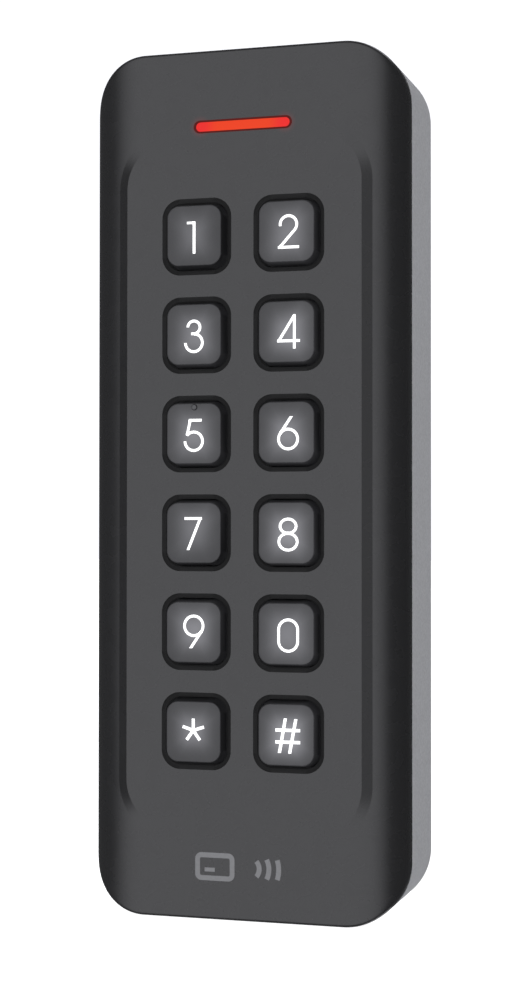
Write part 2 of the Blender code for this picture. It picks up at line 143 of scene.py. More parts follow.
def inset_outline(inset, radius):
    """The casing's outline moved in, with its own corner radius."""
    return rounded_rect(2 * (HALF_W - inset), 2 * (HALF_H - inset), radius, steps=24)


def stadium(width, height, centre, steps=10):
    """A bar with round ends."""
    return rounded_rect(width, height, height / 2 - 0.001, centre, steps)


def circle(radius, centre, steps=48):
    turns = [2 * math.pi * step / steps for step in range(steps)]
    return [(centre[0] + radius * math.cos(a), centre[1] + radius * math.sin(a)) for a in turns]


def quarter_round(radius, steps=6):
    """Pairs (inset, drop) from the side of a rounded edge to its face."""
    for step in range(steps + 1):
        turn = math.radians(90 * step / steps)
        yield radius * (1 - math.cos(turn)), radius * (1 - math.sin(turn))


# ---- meshes --------------------------------------------------------------------------------------
def point(x, depth, z):
    """A vertex position in metres from millimetres and a depth."""
    return Vector((x * MM, -depth * MM, z * MM))


def add_ring(mesh, outline, depth):
    return [mesh.verts.new(point(x, depth, z)) for x, z in outline]


def bridge(mesh, low, high, material=0):
    """Quads between two rings of the same length."""
    for i in range(len(low)):
        j = (i + 1) % len(low)
        face = mesh.faces.new((low[i], low[j], high[j], high[i]))
        face.material_index = material


def bridge_all(mesh, rings, material=0):
    for low, high in zip(rings, rings[1:]):
        bridge(mesh, low, high, material)


def close_up(mesh, rings):
    """A closed solid through rings of the same length, with flat ends."""
    mesh.faces.new(rings[0])
    mesh.faces.new(rings[-1])
    bridge_all(mesh, rings)


def fill(mesh, rings):
    """Triangles over the first ring, with the other rings as holes."""
    verts = [vert for ring in rings for vert in ring]
    flat = [[Vector((v.co.x, v.co.z, 0.0)) / MM for v in ring] for ring in rings]
    for corners in tessellate_polygon(flat):
        mesh.faces.new([verts[i] for i in corners])


def shade(piece, sharp):
    """Smooth shading that keeps the edges above an angle in degrees sharp."""
    piece.data.shade_smooth()
    if sharp:
        piece.data.set_sharp_from_angle(angle=math.radians(sharp))


def weigh_normals(piece):
    """Keep the flat faces flat under smooth shading."""
    modifier = piece.modifiers.new("normals", "WEIGHTED_NORMAL")
    modifier.keep_sharp = True
    modifier.weight = 80


def make_object(name, mesh, materials, sharp=40.0):
    bmesh.ops.recalc_face_normals(mesh, faces=mesh.faces)
    data = bpy.data.meshes.new(name)
    mesh.to_mesh(data)
    mesh.free()
    for material in materials:
        data.materials.append(material)
    piece = bpy.data.objects.new(name, data)
    bpy.context.scene.collection.objects.link(piece)
    shade(piece, sharp)
    return piece


def loft(name, stations, materials, sharp=40.0):
    """One closed solid through (outline, depth) stations with the same number of points."""
    mesh = bmesh.new()
    close_up(mesh, [add_ring(mesh, outline, depth) for outline, depth in stations])
    return make_object(name, mesh, materials, sharp)


def turned(name, stations, centre, materials, steps, sharp=0.0):
    """A solid turned about an axis square to the wall, from (radius, depth) stations."""
    rings = [(circle(radius, centre, steps), depth) for radius, depth in stations]
    return loft(name, rings, materials, sharp)


def turned_upright(name, stations, centre, materials, steps=48):
    """A solid turned about a vertical axis: (radius, height) stations at centre (x, depth)."""
    mesh = bmesh.new()
    rings = []
    for radius, height in stations:
        spots = circle(radius, centre, steps)
        rings.append([mesh.verts.new(point(x, depth, height)) for x, depth in spots])
    close_up(mesh, rings)
    return make_object(name, mesh, materials, sharp=0.0)


def cutter(outline, back, front):
    """A helper solid for combine, between two depths."""
    return loft("cutter", [(outline, back), (outline, front)], [], sharp=0.0)


def combine(piece, helper, operation="DIFFERENCE"):
    """Cut or join helper into piece for good, and remove helper."""
    boolean = piece.modifiers.new("combine", "BOOLEAN")
    boolean.operation = operation
    boolean.solver = "EXACT"
    boolean.object = helper
    bpy.context.view_layer.update()
    graph = bpy.context.evaluated_depsgraph_get()
    result = bpy.data.meshes.new_from_object(piece.evaluated_get(graph))
    piece.modifiers.clear()
    old = piece.data
    piece.data = result
    bpy.data.meshes.remove(old)
    bpy.data.objects.remove(helper, do_unlink=True)


def place(piece, body=CASING, replaced=()):
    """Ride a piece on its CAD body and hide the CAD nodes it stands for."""
    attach(piece, body)
    if replaced:
        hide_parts(*replaced)


# ---- materials -----------------------------------------------------------------------------------
def grey(value):
    return (value, value, value)


def new_material(name, colour, roughness, metallic=0.0, specular=0.5):
    """A Principled material with its even values on the shader's own sockets."""
    material = bpy.data.materials.new(name)
    material.use_nodes = True
    shader = material.node_tree.nodes["Principled BSDF"]
    shader.inputs["Base Color"].default_value = (*colour, 1.0)
    shader.inputs["Roughness"].default_value = roughness
    shader.inputs["Metallic"].default_value = metallic
    shader.inputs["Specular IOR Level"].default_value = specular
    return material, material.node_tree, shader


def add_node(tree, kind, **values):
    node = tree.nodes.new(kind)
    for name, value in values.items():
        setattr(node, name, value)
    return node


def math_node(tree, operation, *values):
    node = add_node(tree, "ShaderNodeMath", operation=operation)
    for index, value in enumerate(values):
        if hasattr(value, "links"):
            tree.links.new(value, node.inputs[index])
        else:
            node.inputs[index].default_value = value
    return node.outputs[0]


def ease(tree, value, start, end):
    """Smooth step from 0 at start to 1 at end."""
    node = add_node(tree, "ShaderNodeMapRange", interpolation_type="SMOOTHSTEP")
    tree.links.new(value, node.inputs["Value"])
    node.inputs["From Min"].default_value = start
    node.inputs["From Max"].default_value = end
    return node.outputs["Result"]


def object_coords(tree):
    return add_node(tree, "ShaderNodeTexCoord").outputs["Object"]


def add_noise(tree, coords, size, detail):
    """Noise whose patches are about size millimetres across."""
    noise = add_node(tree, "ShaderNodeTexNoise")
    noise.inputs["Scale"].default_value = 1.0 / (size * MM)
    noise.inputs["Detail"].default_value = detail
    tree.links.new(coords, noise.inputs["Vector"])
    return noise.outputs["Fac"]


def add_bump(tree, shader, factor, height):
    """Relief that is height millimetres high."""
    bump = add_node(tree, "ShaderNodeBump")
    bump.inputs["Distance"].default_value = height * MM
    bump.inputs["Strength"].default_value = 1.0
    tree.links.new(factor, bump.inputs["Height"])
    tree.links.new(bump.outputs["Normal"], shader.inputs["Normal"])


def add_ramp(tree, factor, low, high, socket, start=0.0, end=1.0):
    """Drive a socket from one colour to another between two values of a factor."""
    ramp = add_node(tree, "ShaderNodeValToRGB")
    first, last = ramp.color_ramp.elements
    first.position, last.position = start, end
    first.color, last.color = (*low, 1.0), (*high, 1.0)
    tree.links.new(factor, ramp.inputs["Fac"])
    tree.links.new(ramp.outputs["Color"], socket)


def emit(tree, shader, factor, low, high):
    """Light given off by the surface itself, between two colours."""
    add_ramp(tree, factor, low, high, shader.inputs["Emission Color"])
    shader.inputs["Emission Strength"].default_value = 1.0


def moulded(name, colour, roughness, grain=0.12, height=0.004, tone=0.06, **options):
    """Moulded plastic or rubber: fine grain, slightly cloudy colour and gloss."""
    gloss_patch, tint_patch, spread = 2.5, 0.35, 0.03
    material, tree, shader = new_material(name, colour, roughness, **options)
    coords = object_coords(tree)
    add_bump(tree, shader, add_noise(tree, coords, grain, 2.0), height)
    gloss = add_noise(tree, coords, gloss_patch, 3.0)
    low, high = grey(roughness - spread), grey(roughness + spread)
    add_ramp(tree, gloss, low, high, shader.inputs["Roughness"], 0.3, 0.7)
    dark = [channel * (1 - tone) for channel in colour]
    pale = [channel * (1 + tone) for channel in colour]
    tint = add_noise(tree, coords, tint_patch, 3.0)
    add_ramp(tree, tint, dark, pale, shader.inputs["Base Color"], 0.3, 0.7)
    return material


def brushed(name, colour, roughness, along=(1.0, 1.0, 30.0), size=0.8):
    """Metal with a fine directional grain."""
    material, tree, shader = new_material(name, colour, roughness, metallic=1.0)
    mapping = add_node(tree, "ShaderNodeMapping")
    mapping.inputs["Scale"].default_value = along
    tree.links.new(object_coords(tree), mapping.inputs["Vector"])
    grain = add_noise(tree, mapping.outputs["Vector"], size, 4.0)
    low, high = grey(roughness - 0.06), grey(roughness + 0.08)
    add_ramp(tree, grain, low, high, shader.inputs["Roughness"])
    add_bump(tree, shader, grain, 0.004)
    return material


def glowing(name, colour, base=(0.8, 0.8, 0.8), roughness=0.4):
    """A surface that gives off an even light of its own."""
    material, _, shader = new_material(name, base, roughness)
    shader.inputs["Emission Color"].default_value = (*colour, 1.0)
    shader.inputs["Emission Strength"].default_value = 1.0
    return material


def keycap_material():
    """Charcoal keycap whose face is lit from below around its legend, by the "glow" attribute."""
    material = moulded("keycap_plastic", (0.0245, 0.0245, 0.0262), 0.42, grain=0.15)
    tree = material.node_tree
    glow = add_node(tree, "ShaderNodeAttribute", attribute_name="glow").outputs["Fac"]
    emit(tree, tree.nodes["Principled BSDF"], glow, grey(0.0), (0.30, 0.30, 0.325))
    return material


def cover_material():
    """Charcoal plastic with a faint red shine beyond both ends of the light bar."""
    material = moulded("charcoal_plastic", (0.0205, 0.0205, 0.021), 0.27)
    tree = material.node_tree
    coords = object_coords(tree)
    far, near = 1.9 * MM, 0.7 * MM
    distances = []
    for x in (-LENS_END, LENS_END):
        reach = add_node(tree, "ShaderNodeVectorMath", operation="DISTANCE")
        tree.links.new(coords, reach.inputs[0])
        reach.inputs[1].default_value = point(x, PANEL, LIGHT_Z)
        distances.append(reach.outputs["Value"])
    shine = ease(tree, math_node(tree, "MINIMUM", *distances), far, near)
    emit(tree, tree.nodes["Principled BSDF"], shine, grey(0.0), (0.050, 0.0, 0.0))
    return material


def lens_material():
    """Lit red diffuser: orange-red between its two lamps and deeper red at the ends."""
    orange_red, deep_red = (0.82, 0.058, 0.017), (0.82, 0.030, 0.028)
    unlit = (0.05, 0.005, 0.005)
    material, tree, shader = new_material("light_lens_red", unlit, 0.5, specular=0.05)
    axes = add_node(tree, "ShaderNodeSeparateXYZ")
    tree.links.new(object_coords(tree), axes.inputs[0])
    from_middle = math_node(tree, "ABSOLUTE", axes.outputs["X"])
    emit(tree, shader, ease(tree, from_middle, 3.6 * MM, 6.4 * MM), orange_red, deep_red)
    return material


def board_material():
    """Green solder mask with a faint pattern of tracks under it."""
    material, tree, shader = new_material("circuit_board", (0.012, 0.075, 0.035), 0.32)
    upright = add_node(tree, "ShaderNodeMapping")
    upright.inputs["Rotation"].default_value = (math.radians(90), 0.0, 0.0)
    tracks = add_node(tree, "ShaderNodeTexBrick")
    tracks.inputs["Scale"].default_value = 1 / (2.2 * MM)
    tracks.inputs["Color1"].default_value = (0.012, 0.080, 0.036, 1.0)
    tracks.inputs["Color2"].default_value = (0.010, 0.062, 0.030, 1.0)
    tracks.inputs["Mortar"].default_value = (0.030, 0.150, 0.070, 1.0)
    tracks.inputs["Mortar Size"].default_value = 0.06
    tree.links.new(object_coords(tree), upright.inputs["Vector"])
    tree.links.new(upright.outputs["Vector"], tracks.inputs["Vector"])
    tree.links.new(tracks.outputs["Color"], shader.inputs["Base Color"])
    add_bump(tree, shader, tracks.outputs["Fac"], 0.03)
    return material


CHARCOAL = cover_material()
COLLAR_BLACK = moulded("collar_black", (0.0155, 0.0155, 0.0155), 0.70, specular=0.2)
SILVER = moulded("silver_paint", (0.68, 0.685, 0.695), 0.48, grain=0.10, height=0.006, tone=0.12)
KEYCAP = keycap_material()
LEGEND = glowing("legend_light", (1.0, 1.0, 1.0))
EMBLEM = moulded("emblem_print", (0.22, 0.22, 0.225), 0.45)
ZINC = brushed("zinc_plate", (0.62, 0.63, 0.64), 0.34)
STEEL = brushed("screw_steel", (0.56, 0.56, 0.57), 0.26, size=0.4)
RUBBER = moulded("black_rubber", (0.018, 0.018, 0.018), 0.65)
BLACK = moulded("black_plastic", (0.022, 0.022, 0.023), 0.45)
WHITE = moulded("white_plastic", (0.72, 0.71, 0.68), 0.40)
LENS_RED = lens_material()
# Painted light: the wall of the hole round each key gives off a faint glow of its own instead of
# lying in shade.
COLLAR_INNER_PAINTED_LIGHT = glowing("collar_inner_painted_light", (0.0085, 0.0085, 0.0088), grey(0.0155), roughness=0.7)
# Painted light: red light from the lens, painted as a glow of the slot's walls.
SLOT_PAINTED_RED_LIGHT = glowing("light_slot_shine", (0.088, 0.013, 0.012), base=(0.02, 0.006, 0.006))
SILICONE = moulded("mat_silicone", (0.62, 0.63, 0.61), 0.55, grain=0.3)
CARBON = moulded("carbon_pill", (0.02, 0.02, 0.021), 0.80, grain=0.08, height=0.01)
COPPER = brushed("coil_copper", (0.80, 0.42, 0.24), 0.30, along=(1.0, 1.0, 6.0), size=0.3)
CHIP = moulded("chip_plastic", (0.022, 0.022, 0.024), 0.50)
LED = moulded("led_resin", (0.80, 0.78, 0.66), 0.25)
BOARD_GREEN = board_material()
COVER_MATERIALS = [CHARCOAL, COLLAR_BLACK, SLOT_PAINTED_RED_LIGHT, COLLAR_INNER_PAINTED_LIGHT]


# ---- front cover ---------------------------------------------------------------------------------
def shell_depth(x):
    """Depth of the rolled-back shell: flat in the middle, a quarter ellipse at the sides."""
    reach = (abs(x) - FLAT_HALF_W) / CURVE_REACH
    if reach <= 0:
        return PANEL
    return PANEL - CURVE_DROP * (1 - math.sqrt(max(0.0, 1 - reach * reach)))


def outline_distance(x, z):
    """Distance of a point inside the cover's outline from that outline."""
    over_x = abs(x) - (HALF_W - CORNER)
    over_z = abs(z) - (HALF_H - CORNER)
    outside = math.hypot(max(over_x, 0.0), max(over_z, 0.0))
    return CORNER - outside - min(max(over_x, over_z), 0.0)


def front_depth(x, z):
    """Depth of the shell's front surface, with the rounded edge along its outline."""
    depth = shell_depth(x)
    inside = outline_distance(x, z)
    if inside < EDGE_ROUND:
        across = EDGE_ROUND - max(inside, 0.0)
        depth -= EDGE_ROUND - math.sqrt(max(0.0, EDGE_ROUND ** 2 - across ** 2))
    return max(depth, PARTING + PARTING_WALL)


def column_top(x):
    """Height of the outline above a distance x from the middle line."""
    over = abs(x) - (HALF_W - CORNER)
    if over <= 0:
        return HALF_H
    return HALF_H - CORNER + math.sqrt(max(0.0, CORNER * CORNER - over * over))


def stretch(row, x):
    """Height at x of a mesh row that has this height in the middle."""
    if row <= ROW_KNEE:
        return row
    return ROW_KNEE + (row - ROW_KNEE) * (column_top(x) - ROW_KNEE) / (HALF_H - ROW_KNEE)


def steps_between(low, high, pitch):
    count = max(1, round((high - low) / pitch))
    return [low + (high - low) * i / count for i in range(count)]


def side_stations():
    """Upper half of the panel's side: pairs of a point on its top edge and one at its foot.

    The step fades out where its foot reaches the line at which the shell starts to roll back.
    Above that place a station is one point of this line.
    """
    corner_x, corner_z = PANEL_HALF_W - PANEL_CORNER, PANEL_HALF_H - PANEL_CORNER
    reach = PANEL_CORNER + CHAMFER
    fade = math.degrees(math.acos((FLAT_HALF_W - corner_x) / reach))
    stations = []
    for z in steps_between(0.0, corner_z, 5.0):
        stations.append(((PANEL_HALF_W, z), (PANEL_HALF_W + CHAMFER, z)))
    for angle in steps_between(0.0, fade, 1.6) + [fade]:
        across, up = math.cos(math.radians(angle)), math.sin(math.radians(angle))
        edge = (corner_x + PANEL_CORNER * across, corner_z + PANEL_CORNER * up)
        stations.append((edge, (corner_x + reach * across, corner_z + reach * up)))
    end = stations[-1][1][1]
    rows = steps_between(end, EDGE_ROWS[0], 0.9) + EDGE_ROWS
    return stations + [((FLAT_HALF_W, z), None) for z in rows[1:]]


def front_side(mesh, side, crease):
    """One curved side of the front face, from bottom to top.

    Returns the line where the flat middle ends, and the side's outline as one open chain.
    """
    upper = side_stations()
    lower = []
    for edge, foot in reversed(upper[1:]):
        lower.append(((edge[0], -edge[1]), foot and (foot[0], -foot[1])))
    inner, rows = [], []
    for edge, foot in lower + upper:
        start = foot or edge
        depth = PANEL if foot else front_depth(*edge)
        inner.append(mesh.verts.new(point(side * edge[0], depth, edge[1])))
        begin = math.asin(min(1.0, (start[0] - FLAT_HALF_W) / CURVE_REACH))
        row = []
        for step in range(SIDE_STEPS + 1):
            angle = begin + (math.pi / 2 - begin) * step / SIDE_STEPS
            x = FLAT_HALF_W + CURVE_REACH * math.sin(angle)
            z = math.copysign(stretch(abs(start[1]), x), start[1])
            if step == 0 and not foot:
                row.append(inner[-1])
            else:
                row.append(mesh.verts.new(point(side * x, front_depth(x, z), z)))
        rows.append(row)
    for near, far in zip(rows, rows[1:]):
        for i in range(SIDE_STEPS):
            mesh.faces.new((near[i], near[i + 1], far[i + 1], far[i]))
    for i in range(len(rows) - 1):
        corners = []
        for vert in (inner[i], rows[i][0], rows[i + 1][0], inner[i + 1]):
            if vert not in corners:
                corners.append(vert)
        if len(corners) > 2:
            for line in mesh.faces.new(corners).edges:
                if abs(line.verts[0].co.z - line.verts[1].co.z) > 1e-7:
                    line[crease] = 1
    outline = rows[0][:-1] + [row[-1] for row in rows] + list(reversed(rows[-1][:-1]))
    return inner, outline


def key_window(mesh, centre):
    """The stepped opening round one key: rim, dark collar, then the hole. Returns its mouth."""
    wide, tall, radius = WINDOW
    hole_w, hole_h, hole_r = COLLAR
    stations = (
        (wide, tall, radius, 0.0),
        (wide - 0.03, tall - 0.03, radius - 0.015, 0.02),
        (hole_w + 0.12, hole_h + 0.12, hole_r + 0.06, COLLAR_DEPTH),
        (hole_w + 0.05, hole_h + 0.05, hole_r + 0.025, COLLAR_DEPTH + 0.015),
        (hole_w, hole_h, hole_r, COLLAR_DEPTH + 0.07),
        (hole_w, hole_h, hole_r, WALL),
    )
    rings = []
    for *size, drop in stations:
        rings.append(add_ring(mesh, rounded_rect(*size, centre, steps=12), PANEL - drop))
    bridge_all(mesh, rings[:-1], COVER_MATERIALS.index(COLLAR_BLACK))
    # The hole's wall takes the painted light: a faint glow where shade would fall.
    bridge(mesh, *rings[-2:], COVER_MATERIALS.index(COLLAR_INNER_PAINTED_LIGHT))
    return rings[0], rings[-1]


def light_slot(mesh):
    """The slot for the light bar. Returns its mouth and its end inside the cover."""
    wide, tall = SLOT
    rings = []
    for grow, drop in ((0.03, 0.0), (0.0, 0.04), (0.0, 0.1), (0.0, WALL)):
        outline = stadium(wide + 2 * grow, tall + 2 * grow, (0.0, LIGHT_Z), steps=12)
        rings.append(add_ring(mesh, outline, PANEL - drop))
    # The slot's walls carry the lens's red light as painted light.
    bridge_all(mesh, rings, COVER_MATERIALS.index(SLOT_PAINTED_RED_LIGHT))
    return rings[0], rings[-1]


def add_boss(mesh, centre, radius, bore, back):
    """A blind boss: a round post with a bore in its end that faces the wall."""
    front, soft = PANEL - WALL + 0.3, 0.2
    stations = (
        (radius, front), (radius, back + soft), (radius - soft, back), (bore + soft, back),
        (bore, back + soft), (bore, front - 2.0),
    )
    close_up(mesh, [add_ring(mesh, circle(r, centre, 40), depth) for r, depth in stations])


def front_cover():
    """The charcoal shell: panel, openings, lip and the bosses inside."""
    mesh = bmesh.new()
    crease = mesh.edges.layers.int.new("crease_mark")
    left, left_outline = front_side(mesh, -1, crease)
    right, right_outline = front_side(mesh, 1, crease)

    # The flat middle: short strips at both ends for the rounded edge, then one plane with holes.
    last, ends = len(left) - 1, len(EDGE_ROWS) - 1
    for i in list(range(ends)) + list(range(last - ends, last)):
        mesh.faces.new((left[i], left[i + 1], right[i + 1], right[i]))
    plane = right[ends:last - ends + 1] + list(reversed(left[ends:last - ends + 1]))
    windows = [key_window(mesh, middle_of(f"key_{label}")) for label in KEYS]
    mouths, insides = zip(*windows, light_slot(mesh))
    fill(mesh, [plane, *mouths])

    # Down the outside to the joint, and round the lip into the hollow.
    outline = right_outline + list(reversed(left_outline))
    shoulder = [mesh.verts.new((v.co.x, -(PARTING + SEAM) * MM, v.co.z)) for v in outline]
    bridge(mesh, outline, shoulder)
    soft, roof_inset = 0.15, LIP_INSET + WALL
    stations = (
        (WALL + LIP_GAP, PARTING + SEAM), (WALL + LIP_GAP, LIP_END + soft),
        (WALL + LIP_GAP + soft, LIP_END), (LIP_INSET - soft, LIP_END),
        (LIP_INSET, LIP_END + soft), (LIP_INSET, PANEL - 2 * WALL), (roof_inset, PANEL - WALL),
    )
    rings = []
    for inset, depth in stations:
        rings.append(add_ring(mesh, inset_outline(inset, CORNER - inset), depth))
    fill(mesh, [shoulder, rings[0]])
    bridge_all(mesh, rings)
    fill(mesh, [rings[-1], *insides])

    for centre in COVER_SCREWS:
        add_boss(mesh, centre, radius=3.0, bore=1.5, back=7.8)
    for centre in BOARD_SCREWS:
        add_boss(mesh, centre, radius=2.3, bore=1.3, back=12.2)

    cover = make_object("casing_front_cover", mesh, COVER_MATERIALS, sharp=42.0)
    marks = cover.data.attributes["crease_mark"]
    for edge, mark in zip(cover.data.edges, marks.data):
        if mark.value:
            edge.use_edge_sharp = True
    cover.data.attributes.remove(marks)
    weigh_normals(cover)
    place(cover, replaced=["front_cover"])


# ---- rear housing, wall plate and the rubber round the cable hole --------------------------------
def rear_housing():
    """A tray with a ledge for the gasket, a floor and a recess in the back for the wall plate."""
    inside, recess = inset_outline(3.6, 5.4), inset_outline(3.0, 6.0)
    mouth, rim = inset_outline(WALL, CORNER - WALL), PARTING - SEAM
    stations = [(inside, FLOOR_FRONT), (inside, LEDGE), (mouth, LEDGE), (mouth, rim)]
    for inset, drop in ((0.10, 0.0), (0.03, 0.03), (0.0, 0.10)):
        stations.append((inset_outline(inset, CORNER - inset), rim - drop))
    for inset, depth in quarter_round(BACK_ROUND):
        stations.append((inset_outline(inset, CORNER - inset), depth))
    stations += [(inset_outline(2.85, 6.15), 0.0), (recess, 0.15), (recess, FLOOR_BACK)]
    housing = loft("casing_rear_housing", stations, [SILVER], sharp=0.0)

    post, head, shaft = 3.4, 2.6, 1.6
    for centre in COVER_SCREWS:
        combine(housing, cutter(circle(post, centre), FLOOR_FRONT - 1.0, 7.5), "UNION")
        combine(housing, cutter(circle(head, centre), 1.1, 4.4))
        combine(housing, cutter(circle(shaft, centre), 3.7, 8.5))
    through = (FLOOR_BACK - 1.0, FLOOR_FRONT + 1.0)
    combine(housing, cutter(circle(4.7, (0.0, CABLE_Z), 64), *through))
    combine(housing, cutter(circle(1.5, TAMPER), *through))
    combine(housing, cutter(circle(2.5, TAMPER), 2.9, 5.1))
    for x in (-HOOK_X, HOOK_X):
        combine(housing, cutter(rounded_rect(7.8, 5.0, 0.6, (x, 43.4), 4), *through))
    combine(housing, cutter(rounded_rect(9.0, 7.0, 0.4, (0.0, -57.1), 4), *through))
    bore = [(1.8, -60.0), (1.8, -63.8), (2.8, -63.8), (2.8, -64.8), (3.0, -65.1)]
    combine(housing, turned_upright("cutter", bore, (0.0, LOCK_DEPTH), []))
    shade(housing, 35.0)
    weigh_normals(housing)
    place(housing, replaced=["rear_housing"])


def wall_plate():
    """A flat plate with two hooks, a locking lug, screw slots and a cable hole."""
    low, high = box_mm("wall_plate")
    centre = middle_of("wall_plate")
    wide, tall = high.x - low.x, high.z - low.z
    soft = 0.25
    stations = []
    for inset, depth in ((soft, 0.0), (0.07, 0.07), (0.0, soft)):
        size = (wide - 2 * inset, tall - 2 * inset, 4.5 - inset)
        stations.append((rounded_rect(*size, centre, 16), depth))
    for outline, depth in list(reversed(stations)):
        stations.append((outline, PLATE_FRONT - depth))
    plate = loft("mounting_wall_plate", stations, [ZINC], sharp=0.0)

    for x in (-HOOK_X, HOOK_X):
        stem = rounded_rect(7.0, 1.6, 0.2, (x, 44.8), 3)
        combine(plate, cutter(stem, 1.0, 5.9), "UNION")
        arm = rounded_rect(7.0, 4.0, 0.3, (x, 46.6), 3)
        combine(plate, cutter(arm, 4.45, 6.0), "UNION")
    combine(plate, cutter(rounded_rect(8.0, 3.0, 0.3, (0.0, -55.5), 3), 1.0, 10.0), "UNION")
    holes = [rounded_rect(4.2, 8.0, 2.0, (0.0, z), 12) for z in (-BOX_SCREW_Z, BOX_SCREW_Z)]
    holes += [rounded_rect(8.0, 4.2, 2.0, (0.0, z), 12) for z in (-WIDE_SLOT_Z, WIDE_SLOT_Z)]
    holes += [circle(6.3, (0.0, CABLE_Z), 64), circle(3.0, TAMPER)]
    for hole in holes:
        combine(plate, cutter(hole, -1.0, 3.0))
    thread = [(1.4, -58.0), (1.4, -53.0)]
    combine(plate, turned_upright("cutter", thread, (0.0, LOCK_DEPTH), []))
    shade(plate, 35.0)
    weigh_normals(plate)
    place(plate, replaced=["wall_plate"])


def cable_grommet():
    """A ring with a groove for the housing's floor between its two flanges."""
    stations = (
        (3.2, 1.3), (3.7, 0.85), (5.3, 0.8), (5.7, 1.0), (5.8, 1.4), (5.7, 1.8), (4.4, 1.8),
        (4.4, 4.4), (5.7, 4.4), (5.8, 4.8), (5.7, 5.2), (5.3, 5.4), (3.7, 5.35), (3.2, 4.9),
    )
    mesh = bmesh.new()
    rings = [add_ring(mesh, circle(r, (0.0, CABLE_Z), 64), depth) for r, depth in stations]
    bridge_all(mesh, rings + rings[:1])
    grommet = make_object("cable_hole_grommet", mesh, [RUBBER])
    place(grommet, replaced=["cable_grommet"])


# ---- keys ----------------------------------------------------------------------------------------
def arc(centre, radius, start, end, stretch_z=1.0, steps=28):
    """Points along an arc between two angles in degrees, anticlockwise from the right."""
    points = []
    for step in range(steps + 1):
        angle = math.radians(start + (end - start) * step / steps)
        reach = (radius * math.cos(angle), radius * stretch_z * math.sin(angle))
        points.append((centre[0] + reach[0], centre[1] + reach[1]))
    return points


def tangent_angle(centre, radius, spot, side):
    """Angle of the point where a line from spot touches a circle, on the chosen side."""
    across, up = spot[0] - centre[0], spot[1] - centre[1]
    turn = math.degrees(math.acos(radius / math.hypot(across, up)))
    return math.degrees(math.atan2(up, across)) + side * turn


def stroke(points, width=STROKE, level=(False, False), closed=False):
    """A line of a legend. A level end is cut level instead of square to the line."""
    return {"points": points, "width": width, "level": level, "closed": closed}


def two():
    foot, centre, radius = (-0.96, -2.30), (0.33, 1.0), 1.27
    touch = tangent_angle(centre, radius, foot, 1)
    bowl = arc(centre, radius, 190.0, touch)
    return [stroke(bowl + [foot], level=(True, True)), stroke([(-1.27, -2.36), (1.95, -2.36)])]


def three():
    upper = arc((0.02, 1.05), 0.955, 178.0, -90.0) + [(-0.40, 0.095)]
    lower = arc((0.02, -1.25), 1.33, 90.0, -180.0)
    return [stroke(upper, level=(True, False)), stroke(lower, level=(False, True))]


def five():
    slant = [(-0.53, 1.98), (-1.04, -0.26)]
    bowl = arc((0.02, -1.15), 1.38, 140.0, -180.0)
    bar = stroke([(-0.76, 1.98), (1.26, 1.98)])
    return [bar, stroke(slant), stroke(bowl, level=(False, True))]


def six():
    centre, radius, tip = (0.29, -1.0), 1.455, (0.78, 2.33)
    touch = math.radians(tangent_angle(centre, radius, tip, 1))
    foot = (centre[0] + radius * math.cos(touch), centre[1] + radius * math.sin(touch))
    ring = arc(centre, radius, 0.0, 360.0, steps=48)[:-1]
    return [stroke(ring, closed=True), stroke([tip, foot], level=(True, False))]


def nine():
    return [
        {**part, "points": [(0.35 - x, -0.03 - z) for x, z in part["points"]]} for part in six()
    ]


def star():
    middle, reach = (0.0, 0.23), 1.75
    turns = [math.radians(90 + 72 * arm) for arm in range(5)]
    tips = [(middle[0] + reach * math.cos(a), middle[1] + reach * math.sin(a)) for a in turns]
    return [stroke([middle, tip], BOLD) for tip in tips]


LEGENDS = {
    "1": [stroke([(0.03, -2.72), (0.03, 2.08)], 0.42), stroke([(-1.10, 1.90), (0.03, 1.90)], 0.36)],
    "2": two(),
    "3": three(),
    "4": [
        stroke([(1.24, -2.52), (1.24, 2.52)]),
        stroke([(-1.38, -1.36), (2.10, -1.36)]),
        stroke([(1.16, 2.27), (-1.14, -1.36)]),
    ],
    "5": five(),
    "6": six(),
    "7": [
        stroke([(-1.42, 2.14), (1.32, 2.14)]),
        stroke([(1.06, 2.14), (-0.87, -2.56)], level=(False, True)),
    ],
    "8": [
        stroke(arc((0.30, 1.00), 1.22, 0.0, 360.0, 0.86, 48)[:-1], closed=True),
        stroke(arc((0.29, -1.28), 1.40, 0.0, 360.0, 0.88, 48)[:-1], closed=True),
    ],
    "9": nine(),
    "0": [stroke(rounded_rect(2.90, 4.60, 1.449, (0.32, -0.23), 16), closed=True)],
    "star": star(),
    "hash": [
        stroke([(-0.10, 2.42), (-1.00, -2.65)], BOLD, (True, True)),
        stroke([(1.50, 2.37), (0.55, -2.70)], BOLD, (True, True)),
        stroke([(-1.63, 0.70), (2.15, 0.70)], BOLD),
        stroke([(-1.63, -1.05), (2.15, -1.05)], BOLD),
    ],
}


def heading(a, b):
    """Unit vector from a to b."""
    length = math.hypot(b[0] - a[0], b[1] - a[1])
    return ((b[0] - a[0]) / length, (b[1] - a[1]) / length)


